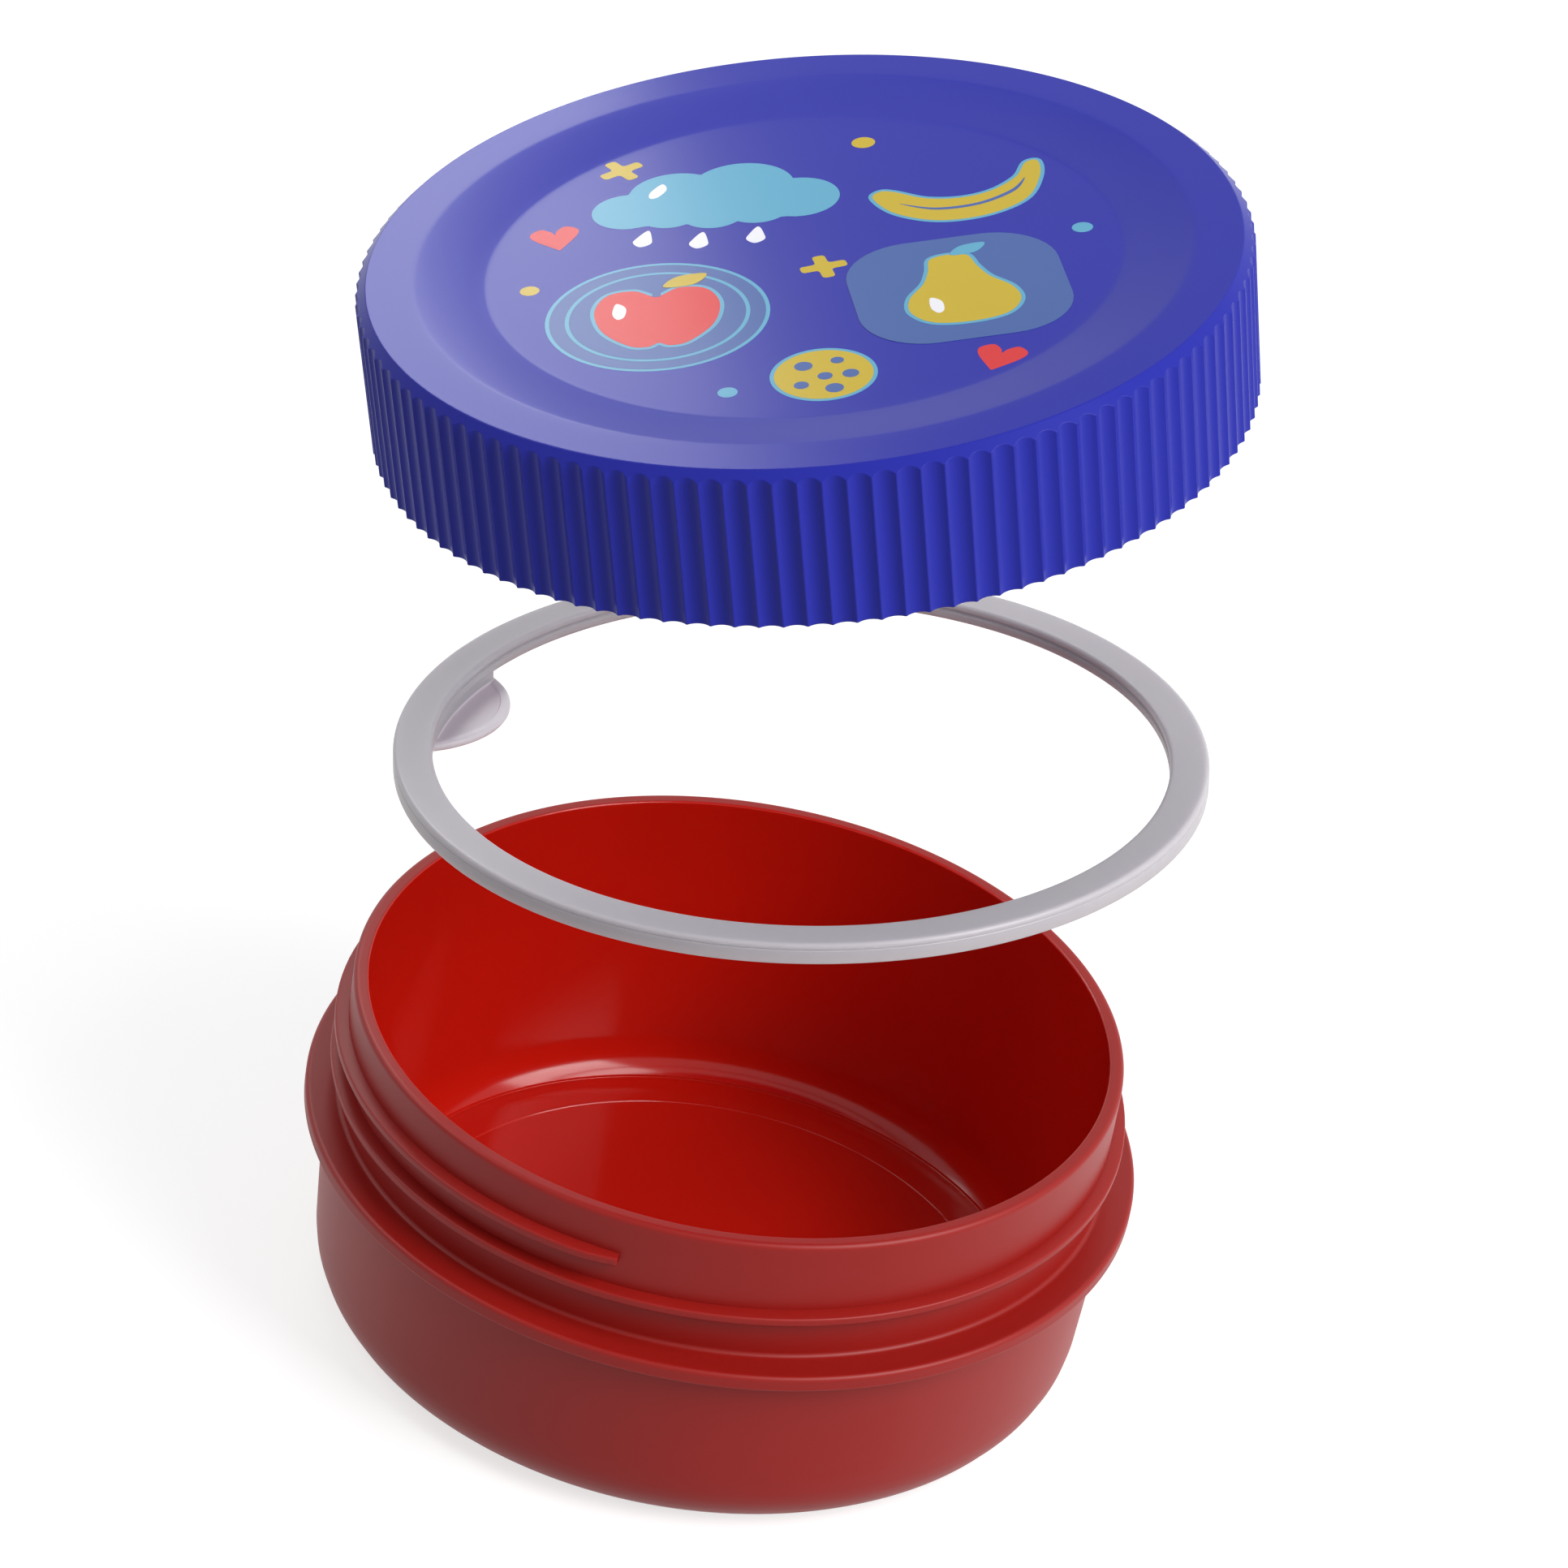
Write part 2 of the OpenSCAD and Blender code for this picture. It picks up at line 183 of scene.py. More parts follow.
class LidSizes(PropertyGroup):
    """Sizes of the lid."""

    radius: length("Radius", "Outer radius at the ribs", 54.9 * MM)
    bore: length("Bore", "Inner radius of the skirt", 53.4 * MM)
    top: length("Top", "Height of the closed lid's top above the table", 51.45 * MM)
    low_edge: length("Lower edge", "Height of the skirt's lower edge above the table", 31.0 * MM)
    flutes: IntProperty(name="Flutes", description="Number of flutes", default=120, min=24)
    flute_depth: length("Flute depth", "Depth of a flute", 0.5 * MM)
    rib: length("Rib", "Width of the rib left between two flutes", 0.14 * MM)
    chamfer_height: length("Chamfer height", "Height of the chamfer round the top", 1.3 * MM)
    chamfer_width: length("Chamfer width", "Width of that chamfer", 1.4 * MM)
    ring: length("Flat ring", "Width of the flat ring round the top", 5.85 * MM)
    slope: length("Slope", "Width of the slope inside that ring", 8.75 * MM)
    sink: length("Sink", "Depth of the printed disc", 1.6 * MM)
    dish_round: length("Dish round", "Rounding where the slope meets the ring and the disc", 4.0 * MM)
    plate: length("Plate", "Thickness of the top plate", 1.9 * MM)
    seal_rib: length("Seal rib", "Height of the rib that keeps the seal in place", 2.2 * MM)
    seal_rib_width: length("Seal rib width", "Thickness of that rib", 1.2 * MM)
    seal_rib_gap: length("Seal rib gap", "Gap between that rib and the seal", 0.3 * MM)
    bevel: length("Bevel", "Bevel at the foot of the bore", 0.35 * MM)


class Finishes(PropertyGroup):
    """Colours and gloss of the finishes."""

    cup: colour("Cup", "Red plastic outside", (146, 20, 14))
    # painted bounce light: a lighter, deeper red for the cup's inside, standing in for light bouncing
    # between its walls
    cup_painted_bounce: colour("Cup painted bounce", "Red plastic inside, where light bounces between the walls", (184, 22, 10))
    cup_inside: share("Cup inside", "Roughness of the cup's polished inside", 0.14)
    cup_outside: share("Cup outside", "Roughness of the cup's satin outside", 0.435)
    cup_specular: share("Cup specular", "How strongly the cup mirrors", 0.3)
    lid: colour("Lid", "Blue plastic", (38, 43, 154))
    lid_gloss: share("Lid gloss", "Roughness of the lid", 0.26)
    lid_specular: share("Lid specular", "How strongly the lid mirrors", 0.1)
    seal: colour("Seal", "Frosted silicone", (180, 176, 181))
    # painted light: a lighter copy of the silicone's colour for the tab, standing in for light through the
    # thin tab and for light that the lid above keeps off it
    seal_tab_painted_light: colour("Seal tab painted light", "Frosted silicone where it is thin and light gets in", (222, 216, 224))
    ochre: colour("Ochre", "Ochre ink", (190, 165, 50))
    teal: colour("Teal", "Teal ink", (92, 160, 190))
    red: colour("Red", "Red ink", (205, 54, 56))
    white: colour("White", "White ink", (226, 226, 232))
    slate: colour("Slate", "Slate ink", (70, 96, 156))


class StageSizes(PropertyGroup):
    """Where the camera and the lamps stand, and the light around the object."""

    distance: length("Distance", "From the camera to its aim", 0.784)
    aim_height: length("Aim", "Height of the camera's aim above the table", 82.7 * MM)
    aim_aside: length("Aim aside", "How far that aim lies to the right of the cup's axis", 0.4 * MM)
    elevation: angle("Elevation", "How far the camera looks down", 32.14)
    roll: angle("Roll", "Turn of the picture", 9.98)
    view_angle: angle("View angle", "Angle that the picture takes in", 14.68)
    lamp_distance: length("Lamp distance", "From the object to the far lamps", 1.5)
    around: share("Light around", "Strength of the light from all sides", 0.37)


class SnackContainerSettings(PropertyGroup):
    """All sizes and colours of the container."""

    cup: PointerProperty(type=CupSizes)
    thread: PointerProperty(type=ThreadSizes)
    seal: PointerProperty(type=SealSizes)
    lid: PointerProperty(type=LidSizes)
    finish: PointerProperty(type=Finishes)
    stage: PointerProperty(type=StageSizes)


def settings():
    """The scene's own settings of this add-on."""
    return bpy.context.scene.snack_container


# ---------------- outlines and meshes

def arc(x, y, radius, start, end, steps):
    """Points along an arc, with angles in degrees."""
    angles = [math.radians(start + (end - start) * i / steps) for i in range(steps + 1)]
    return [(x + radius * math.cos(a), y + radius * math.sin(a)) for a in angles]


def filleted(corners, steps=5, hold=0.35):
    """An outline through corners (x, y, radius), each rounded by its own radius.

    A point a little past each end of a rounding, by a share of its radius, keeps the flats beside it
    shaded flat.
    """
    points = []
    for i, (x, y, radius) in enumerate(corners):
        here = Vector((x, y))
        if radius == 0:
            points.append(here)
            continue
        back = (Vector(corners[i - 1][:2]) - here).normalized()
        on = (Vector(corners[(i + 1) % len(corners)][:2]) - here).normalized()
        half = back.angle(on) / 2
        centre = here + (back + on).normalized() * radius / math.sin(half)
        first = here + back * radius / math.tan(half) - centre
        last = here + on * radius / math.tan(half) - centre
        turn = -first.angle_signed(last)
        points.append(centre + first + back * radius * hold)
        for k in range(steps + 1):
            points.append(centre + Matrix.Rotation(turn * k / steps, 2) @ first)
        points.append(centre + last + on * radius * hold)
    return points


def new_mesh(name, points, faces):
    """A smooth mesh whose edges past a set angle stay sharp."""
    mesh = bpy.data.meshes.new(name)
    mesh.from_pydata([tuple(p) for p in points], [], faces)
    mesh.validate()
    soften(mesh)
    return mesh


def soften(mesh, crease=32):
    """Smooth shading, apart from edges that turn by more than an angle in degrees."""
    mesh.shade_smooth()
    mesh.set_sharp_from_angle(angle=math.radians(crease))


def turned(name, outline, columns=288, closed=False):
    """A mesh turned about Z from an outline of (radius, height), whose ends are poles or meet."""
    rows = [p for p in outline if closed or p[0] > 0]
    points, faces = [], []
    for c in range(columns):
        turn = math.tau * c / columns
        points += [(r * math.cos(turn), r * math.sin(turn), z) for r, z in rows]
    count = len(rows)
    for c in range(columns):
        here, there = c * count, (c + 1) % columns * count
        for k in range(count if closed else count - 1):
            on = (k + 1) % count
            faces.append((here + k, there + k, there + on, here + on))
    if not closed:
        for pole, row in ((outline[0], 0), (outline[-1], count - 1)):
            points.append((0, 0, pole[1]))
            ring = [c * count + row for c in range(columns)]
            for c in range(columns):
                pair = (ring[c], ring[(c + 1) % columns])
                faces.append((len(points) - 1, *(pair[::-1] if row == 0 else pair)))
    return new_mesh(name, points, faces)


def face_outwards(mesh):
    """Merges doubles and turns every face of a closed mesh outwards."""
    shape = bmesh.new()
    shape.from_mesh(mesh)
    bmesh.ops.remove_doubles(shape, verts=shape.verts, dist=DOUBLES)
    bmesh.ops.recalc_face_normals(shape, faces=shape.faces)
    shape.to_mesh(mesh)
    shape.free()
    soften(mesh)


def lens(outer, inner, centre, z, steps=40):
    """Outline of what a circle on the axis and one centred on X share, at height z."""
    x = (outer ** 2 - inner ** 2 + centre ** 2) / (2 * centre)
    y = math.sqrt(outer ** 2 - x ** 2)
    out = math.atan2(y, x)
    side = math.atan2(y, x - centre)
    points = [(outer * math.cos(a), outer * math.sin(a), z)
              for a in (out * (2 * k / steps - 1) for k in range(steps + 1))]
    return points + [(centre + inner * math.cos(a), inner * math.sin(a), z)
                     for a in (side + (math.tau - 2 * side) * k / steps for k in range(1, steps))]


def stacked(loops):
    """A closed mesh through outlines of the same number of points, one above the other."""
    count = len(loops[0])
    faces = [tuple(range(count))[::-1], tuple(len(loops) * count - count + k for k in range(count))]
    for row in range(len(loops) - 1):
        for k in range(count):
            here, on = row * count + k, row * count + (k + 1) % count
            faces.append((here, on, on + count, here + count))
    return new_mesh("stacked", [p for loop in loops for p in loop], faces)


def union(first, second):
    """Two closed meshes joined into one."""
    pair = [in_scene("part", mesh) for mesh in (first, second)]
    modifier = pair[0].modifiers.new("join", "BOOLEAN")
    modifier.operation = "UNION"
    modifier.solver = "EXACT"
    modifier.object = pair[1]
    mesh = finished_mesh(pair[0])
    for part in pair:
        bpy.data.objects.remove(part)
    return mesh


def in_scene(name, data):
    """A new object in the scene."""
    made = bpy.data.objects.new(name, data)
    bpy.context.scene.collection.objects.link(made)
    return made


def finished_mesh(holder):
    """The plain mesh that an object's modifiers make."""
    view = bpy.context.evaluated_depsgraph_get()
    return bpy.data.meshes.new_from_object(holder.evaluated_get(view), depsgraph=view)


def lifted(*names):
    """What carries a piece from its seat to its place at rest, along the named joints in turn."""
    move = Matrix.Identity(4)
    for name in names:
        joint = JOINTS[name]
        pivot = Matrix.Translation(joint["pos_m"])
        swing = Matrix.Rotation(-math.radians(joint["range_deg"][0]), 4, Vector(joint["axis"]))
        move = pivot @ swing @ pivot.inverted() @ move
    return move


def piece(name, mesh, material, body, node=None):
    """A finished piece: its mesh carried to its place, riding on its body."""
    face_outwards(mesh)
    remember_place(mesh)
    mesh.transform(lifted(*CARRIED_BY[body]))
    mesh.materials.clear()
    mesh.materials.append(material)
    made = in_scene(name, mesh)
    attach(made, body)
    if node:
        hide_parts(node)
    return made


def remember_place(mesh):
    """Keeps each point's place in the closed container, which the finishes read."""
    place = mesh.attributes.new("seat", "FLOAT_VECTOR", "POINT")
    place.data.foreach_set("vector", [c for v in mesh.vertices for c in v.co])


# ---------------- geometry nodes

def new_tree(name, sizes):
    """A Geometry Nodes tree with named inputs, given as name to kind, and its two end nodes."""
    tree = bpy.data.node_groups.new(name, "GeometryNodeTree")
    tree.interface.new_socket(name="Geometry", in_out="INPUT", socket_type="NodeSocketGeometry")
    for label, kind in sizes.items():
        tree.interface.new_socket(name=label, in_out="INPUT", socket_type="NodeSocket" + kind)
    tree.interface.new_socket(name="Geometry", in_out="OUTPUT", socket_type="NodeSocketGeometry")
    return tree, tree.nodes.new("NodeGroupInput").outputs, tree.nodes.new("NodeGroupOutput").inputs


def put(tree, kind, inputs=None, **options):
    """A node with its settings, and its inputs set or linked by name or number."""
    node = tree.nodes.new(kind)
    for key, value in options.items():
        setattr(node, key, value)
    for key, value in (inputs or {}).items():
        if isinstance(value, bpy.types.NodeSocket):
            tree.links.new(value, node.inputs[key])
        else:
            node.inputs[key].default_value = value
    return node.outputs


def maths(tree, operation, *values):
    """The result of a Math node."""
    return put(tree, "ShaderNodeMath", dict(enumerate(values)), operation=operation)[0]


def along_z(tree, value):
    """A vector along Z, also read as a turn about Z."""
    return put(tree, "ShaderNodeCombineXYZ", {"Z": value})["Vector"]


def scaled_to(tree, value, low, high, start=0.0, end=1.0):
    """A value brought from one range to another."""
    return put(tree, "ShaderNodeMapRange", {
        "Value": value, "From Min": start, "From Max": end, "To Min": low, "To Max": high})["Result"]


def ended(tree, solid, given, result):
    """The tree, ended with its solid in its material."""
    painted = put(tree, "GeometryNodeSetMaterial", {"Geometry": solid, "Material": given["Material"]})
    tree.links.new(painted["Geometry"], result["Geometry"])
    return tree


def grown(base, tree, sizes):
    """The plain mesh that a tree makes of a base mesh, with its inputs set by their identifiers."""
    holder = in_scene("holder", base)
    modifier = holder.modifiers.new(tree.name, "NODES")
    modifier.node_group = tree
    for item in tree.interface.items_tree:
        if item.in_out == "INPUT" and item.name in sizes:
            modifier[item.identifier] = sizes[item.name]
    mesh = finished_mesh(holder)
    holder.modifiers.remove(modifier)
    bpy.data.objects.remove(holder)
    return mesh


def repeat_round_tree():
    """Repeats one slice round the Z axis and joins the copies."""
    tree, given, result = new_tree(
        "Repeat round", {"Count": "Int", "Join distance": "Float", "Material": "Material"})
    places = put(tree, "GeometryNodePoints", {"Count": given["Count"]})["Points"]
    index = put(tree, "GeometryNodeInputIndex")["Index"]
    turn = maths(tree, "DIVIDE", maths(tree, "MULTIPLY", index, math.tau), given["Count"])
    copies = put(tree, "GeometryNodeInstanceOnPoints", {
        "Points": places, "Instance": given["Geometry"], "Rotation": along_z(tree, turn)})["Instances"]
    solid = put(tree, "GeometryNodeRealizeInstances", {"Geometry": copies})["Geometry"]
    joined = put(tree, "GeometryNodeMergeByDistance", {
        "Geometry": solid, "Distance": given["Join distance"]})["Geometry"]
    return ended(tree, joined, given, result)


def thread_tree():
    """Sweeps a thread's rounded section along its helix, lower at both ends."""
    tree, given, result = new_tree("Thread", {
        "Turns": "Float", "Pitch": "Float", "Path radius": "Float", "Depth": "Float", "Wide": "Float",
        "Narrow": "Float", "Rounding": "Float", "Fade turns": "Float", "End share": "Float",
        "Sunk by": "Float", "Steps": "Int", "Start angle": "Float", "Start height": "Float",
        "Facing": "Float", "Material": "Material"})
    helix = put(tree, "GeometryNodeCurveSpiral", {
        "Resolution": given["Steps"], "Rotations": given["Turns"], "Reverse": True,
        "Start Radius": given["Path radius"], "End Radius": given["Path radius"],
        "Height": maths(tree, "MULTIPLY", given["Turns"], given["Pitch"])})
    along = put(tree, "GeometryNodeSplineParameter")["Factor"]
    from_end = maths(tree, "MINIMUM", along, maths(tree, "SUBTRACT", 1.0, along))
    rise = maths(tree, "DIVIDE", maths(tree, "MULTIPLY", from_end, given["Turns"]), given["Fade turns"])
    still_to_rise = maths(tree, "SUBTRACT", 1.0, given["End share"])
    stands = maths(tree, "MULTIPLY_ADD", still_to_rise, rise, given["End share"])
    lacks = maths(tree, "SUBTRACT", 1.0, maths(tree, "MINIMUM", stands, 1.0))
    sunk = maths(tree, "MULTIPLY", given["Sunk by"], lacks)
    scale = maths(tree, "SUBTRACT", 1.0, maths(tree, "DIVIDE", sunk, given["Path radius"]))
    place = put(tree, "ShaderNodeSeparateXYZ", {0: put(tree, "GeometryNodeInputPosition")["Position"]})
    drawn_in = put(tree, "ShaderNodeCombineXYZ", {
        "X": maths(tree, "MULTIPLY", place["X"], scale), "Y": maths(tree, "MULTIPLY", place["Y"], scale),
        "Z": place["Z"]})["Vector"]
    path = put(tree, "GeometryNodeSetPosition", {
        "Geometry": helix["Curve"], "Position": drawn_in})["Geometry"]
    upright = put(tree, "GeometryNodeSetCurveNormal", {"Curve": path}, mode="Z_UP")["Curve"]
    section = put(tree, "GeometryNodeCurvePrimitiveQuadrilateral", {
        "Height": given["Depth"], "Bottom Width": given["Wide"], "Top Width": given["Narrow"],
        "Offset": 0.0}, mode="TRAPEZOID")["Curve"]
    rounded = put(tree, "GeometryNodeFilletCurve", {
        "Curve": section, "Count": 4, "Radius": given["Rounding"]}, mode="POLY")["Curve"]
    facing = put(tree, "GeometryNodeTransform", {
        "Geometry": rounded, "Rotation": along_z(tree, given["Facing"])})["Geometry"]
    swept = put(tree, "GeometryNodeCurveToMesh", {
        "Curve": upright, "Profile Curve": facing, "Fill Caps": True})["Mesh"]
    placed = put(tree, "GeometryNodeTransform", {
        "Geometry": swept, "Translation": along_z(tree, given["Start height"]),
        "Rotation": along_z(tree, given["Start angle"])})["Geometry"]
    solid = put(tree, "GeometryNodeRealizeInstances", {"Geometry": placed})["Geometry"]
    return ended(tree, solid, given, result)


# ---------------- finishes

def seat_of(tree):
    """The place that a point has in the closed container, which every pattern follows."""
    return put(tree, "ShaderNodeAttribute", attribute_name="seat")["Vector"]


def moulded(name, tint, roughness, grain, specular=0.5):
    """Moulded plastic: a faint mottle in its colour, an uneven gloss and a fine grain in its surface."""
    material = bpy.data.materials.new(name)
    material.use_nodes = True
    tree = material.node_tree
    shader = tree.nodes["Principled BSDF"]
    shader.inputs["Specular IOR Level"].default_value = specular
    seat = seat_of(tree)
    cloud = put(tree, "ShaderNodeTexNoise", {"Vector": seat, "Scale": 55.0, "Detail": 4.0})["Fac"]
    mottle = scaled_to(tree, cloud, 0.97, 1.03)
    tone = put(tree, "ShaderNodeHueSaturation", {"Value": mottle, "Color": (*tint, 1)})["Color"]
    tree.links.new(tone, shader.inputs["Base Color"])
    uneven = scaled_to(tree, cloud, 0.95, 1.05)
    tree.links.new(maths(tree, "MULTIPLY", uneven, roughness), shader.inputs["Roughness"])
    fine = put(tree, "ShaderNodeTexNoise", {"Vector": seat, "Scale": 900.0, "Detail": 1.0})["Fac"]
    bump = put(tree, "ShaderNodeBump", {"Height": fine, "Strength": grain, "Distance": 0.006 * MM})["Normal"]
    tree.links.new(bump, shader.inputs["Normal"])
    return material


def inside_only(tree, radius, floor):
    """1 on faces nearer the axis than a radius and above a floor, 0 elsewhere."""
    place = put(tree, "ShaderNodeSeparateXYZ", {0: seat_of(tree)})
    squares = [maths(tree, "MULTIPLY", place[axis], place[axis]) for axis in ("X", "Y")]
    near = maths(tree, "LESS_THAN", maths(tree, "SQRT", maths(tree, "ADD", *squares)), radius)
    return maths(tree, "MULTIPLY", near, maths(tree, "GREATER_THAN", place["Z"], floor))


def painted_light_tone(tree, mask, own_tint, lit_tint):
    """Painted light: gives a moulded plastic a lighter copy of its colour where a mask is 1."""
    tone = tree.nodes["Principled BSDF"].inputs["Base Color"].links[0].from_node
    tint = put(tree, "ShaderNodeMix", {
        0: mask, 6: (*own_tint, 1), 7: (*lit_tint, 1)}, data_type="RGBA")[2]
    tree.links.new(tint, tone.inputs["Color"])


def red_plastic():
    """The cup's plastic: polished inside, satin outside, with painted bounce light inside."""
    known = bpy.data.materials.get("red plastic")
    if known:
        return known
    cup, finish = settings().cup, settings().finish
    material = moulded(
        "red plastic", finish.cup, finish.cup_outside, grain=0.3, specular=finish.cup_specular)
    tree = material.node_tree
    shader = tree.nodes["Principled BSDF"]
    satin = shader.inputs["Roughness"].links[0].from_socket
    inside = inside_only(tree, cup.bore + SLACK, cup.floor / 2)
    blend = put(tree, "ShaderNodeMix", {0: inside, 2: satin, 3: finish.cup_inside}, data_type="FLOAT")[0]
    tree.links.new(blend, shader.inputs["Roughness"])
    # painted bounce light: the inside gets a lighter red standing in for light bouncing between the walls;
    # only its polish is real
    painted_light_tone(tree, inside, finish.cup, finish.cup_painted_bounce)
    shader.inputs["Subsurface Weight"].default_value = 0.3
    shader.inputs["Subsurface Radius"].default_value = (1.0, 0.08, 0.04)
    shader.inputs["Subsurface Scale"].default_value = cup.wall
    return material


def blue_plastic():
    """The lid's plastic."""
    finish = settings().finish
    return bpy.data.materials.get("blue plastic") or moulded(
        "blue plastic", finish.lid, finish.lid_gloss, grain=0.04, specular=finish.lid_specular)


def ink(tint):
    """A flat ink, as glossy as the plastic that it lies on."""
    finish = settings().finish
    return moulded(
        tint + " ink", getattr(finish, tint), finish.lid_gloss, grain=0.04, specular=finish.lid_specular)


def frosted_silicone():
    """Frosted silicone: soft light passes a little way into it, and the tab is painted lighter."""
    cup, seal, finish = settings().cup, settings().seal, settings().finish
    material = moulded("frosted silicone", finish.seal, roughness=0.35, grain=0.5)
    tree = material.node_tree
    shader = tree.nodes["Principled BSDF"]
    place = put(tree, "ShaderNodeSeparateXYZ", {0: seat_of(tree)})
    tab_top = cup.height + seal.seat_gap - seal.channel - seal.tab_drop + SLACK
    # painted light: below the tab's top the silicone is given a lighter colour, standing in for light
    # through the thin tab
    painted_light_tone(tree, maths(tree, "LESS_THAN", place["Z"], tab_top), finish.seal, finish.seal_tab_painted_light)
    shader.inputs["Subsurface Weight"].default_value = 0.9
    shader.inputs["Subsurface Radius"].default_value = (1.0, 0.95, 1.0)
    shader.inputs["Subsurface Scale"].default_value = 3.0 * MM
    shader.inputs["IOR"].default_value = 1.41
    return material


# ---------------- cup, seal and lid

class MakeCup(Operator):
    """Makes the cup: rim, neck, flange, bowl and sunk floor, turned in one wall."""

    bl_idname = "snack_container.make_cup"
    bl_label = "Make cup"

    def execute(self, context):
        cup = settings().cup
        neck = cup.bore + cup.wall
        bowl_top = neck + cup.bowl_step
        bowl_low = bowl_top - cup.bowl_draft
        flange_top = cup.height - cup.flange_drop
        flange_low = flange_top - cup.flange_thickness
        hollow = bowl_low - cup.foot_round - cup.foot_ring
        low_bore = cup.bore - cup.bore_draft
        step_top = cup.floor + cup.floor_rise + cup.floor_step
        bend = arc(
            low_bore - cup.floor_round, step_top + cup.floor_round * math.sin(cup.floor_turn),
            cup.floor_round, 0, -math.degrees(cup.floor_turn), steps=14)
        step_lean = cup.floor_step / 3
        outline = filleted([  # radius, height and rounding of each corner
            (0, cup.foot_hollow, 0),
            (hollow, cup.foot_hollow, 0.3 * MM),
            (hollow + cup.foot_hollow, 0, 0.3 * MM),
            (bowl_low, 0, cup.foot_round),
            (bowl_top, flange_low, 0.5 * MM),
            (cup.flange_radius, flange_low, 0.25 * MM),
            (cup.flange_radius, flange_top, 0.6 * MM),
            (neck, flange_top, 0.6 * MM),
            (neck, cup.height, 0.7 * MM),
            (cup.bore, cup.height, 0.35 * MM),
            *[(x, y, 0) for x, y in bend[:-1]],
            (*bend[-1], 0.1 * MM),
            (bend[-1][0] - step_lean, cup.floor + cup.floor_rise, 0.12 * MM),
            (cup.floor_disc, cup.floor + cup.floor_crease, 0.06 * MM),
            (cup.floor_disc - cup.floor_crease, cup.floor, 0.06 * MM),
            (0, cup.floor, 0),
        ], steps=7)
        piece("cup_shell", turned("cup_shell", outline), red_plastic(), "cup", "cup")
        return {"FINISHED"}


def thread_mesh(wall, height, count, rounding, material, lead=0, drop=0):
    """A thread on a wall of this radius, standing out by a height, or in where that is negative.

    It has this count of turns. The lid's runs on past the cup's by a lead, and lies lower by a drop.
    """
    cup, thread = settings().cup, settings().thread
    side = math.copysign(1, height)
    depth = abs(height) + thread.sunk
    below = count - lead
    return grown(bpy.data.meshes.new("helix"), thread_tree(), {
        "Turns": count, "Pitch": thread.pitch, "Path radius": wall + side * (depth / 2 - thread.sunk),
        "Depth": depth, "Wide": thread.root_width, "Narrow": thread.crest_width, "Rounding": rounding,
        "Fade turns": thread.fade / math.tau, "End share": thread.blunt, "Sunk by": height,
        "Steps": thread.steps, "Start angle": thread.start_azimuth - math.tau * below,
        "Start height": cup.height - thread.start_drop - drop - thread.pitch * below,
        "Facing": -side * math.pi / 2, "Material": material,
    })


class MakeCupThread(Operator):
    """Makes the thread round the cup's neck."""

    bl_idname = "snack_container.make_cup_thread"
    bl_label = "Make cup thread"

    def execute(self, context):
        cup, thread = settings().cup, settings().thread
        mesh = thread_mesh(
            cup.bore + cup.wall, thread.cup_height, thread.cup_turns, rounding=0.3 * MM,
            material=red_plastic())
        piece("cup_thread", mesh, red_plastic(), "cup")
        return {"FINISHED"}


class MakeSeal(Operator):
    """Makes the seal ring with its channel, its groove and its pull tab."""

    bl_idname = "snack_container.make_seal"
    bl_label = "Make seal"

    def execute(self, context):
        cup, seal = settings().cup, settings().seal
        low = cup.height + seal.seat_gap - seal.channel
        top = low + seal.height
        groove = low + seal.height * seal.groove_height
        channel_in = cup.bore - seal.channel_gap
        channel_out = cup.bore + cup.wall + seal.channel_gap
        outline = filleted([  # radius, height and rounding of each corner
            (seal.bore, low, seal.rounding),
            (channel_in, low, 0.15 * MM),
            (channel_in, low + seal.channel, 0.15 * MM),
            (channel_out, low + seal.channel, 0.15 * MM),
            (channel_out, low, 0.1 * MM),
            (seal.radius, low, 0.18 * MM),
            (seal.radius, top - seal.line_drop - seal.line, 0.05 * MM),
            (seal.radius - seal.line, top - seal.line_drop, 0.06 * MM),
            (seal.radius, top - seal.line_drop + seal.line, 0.05 * MM),
            (seal.radius, top, seal.rounding),
            (seal.bore, top, seal.rounding),
            (seal.bore, groove + seal.groove, 0.12 * MM),
            (seal.bore + seal.groove, groove, 0.1 * MM),
            (seal.bore, groove - seal.groove, 0.12 * MM),
        ])
        ring = turned("seal_ring", outline, closed=True)
        face_outwards(ring)
        joined = union(ring, self.tab(seal, low))
        piece("seal_body", joined, frosted_silicone(), "seal", "seal_ring")
        return {"FINISHED"}

    def tab(self, seal, low):
        """The lip with its rounded edge and dished top, and the neck that it hangs from, in one shape."""
        neck_in = seal.bore + seal.rounding
        neck_out = neck_in + seal.tab_neck
        overlap = 0.1 * MM
        centre = seal.bore - seal.tab_reach + seal.tab_edge
        lip_top = low - seal.tab_drop
        edge = seal.tab_thickness * seal.tab_round
        quarter = [math.pi / 2 * k / 4 for k in range(5)]
        rows = [(edge * (1 - math.sin(a)), -edge * math.cos(a)) for a in quarter]
        levels = [(inset, lip_top - seal.tab_thickness + edge + drop) for inset, drop in rows]
        levels += [(inset, lip_top - edge - drop) for inset, drop in reversed(rows)]
        levels += [(seal.tab_border, lip_top), (seal.tab_border + seal.tab_dish, lip_top - seal.tab_dish)]
        lip = stacked([lens(neck_out + overlap - i, seal.tab_edge - i, centre, z) for i, z in levels])
        steps = 16
        spread = [seal.tab_angle * (k / steps - 0.5) for k in range(steps + 1)]
        wall = [(neck_in * math.cos(a), neck_in * math.sin(a)) for a in spread]
        wall += [(neck_out * math.cos(a), neck_out * math.sin(a)) for a in reversed(spread)]
        heights = (lip_top - seal.tab_thickness / 2, low + seal.rounding)
        neck = stacked([[(x, y, z) for x, y in wall] for z in heights])
        shape = union(lip, neck)
        shape.transform(Matrix.Rotation(seal.tab_azimuth, 4, "Z"))
        return shape


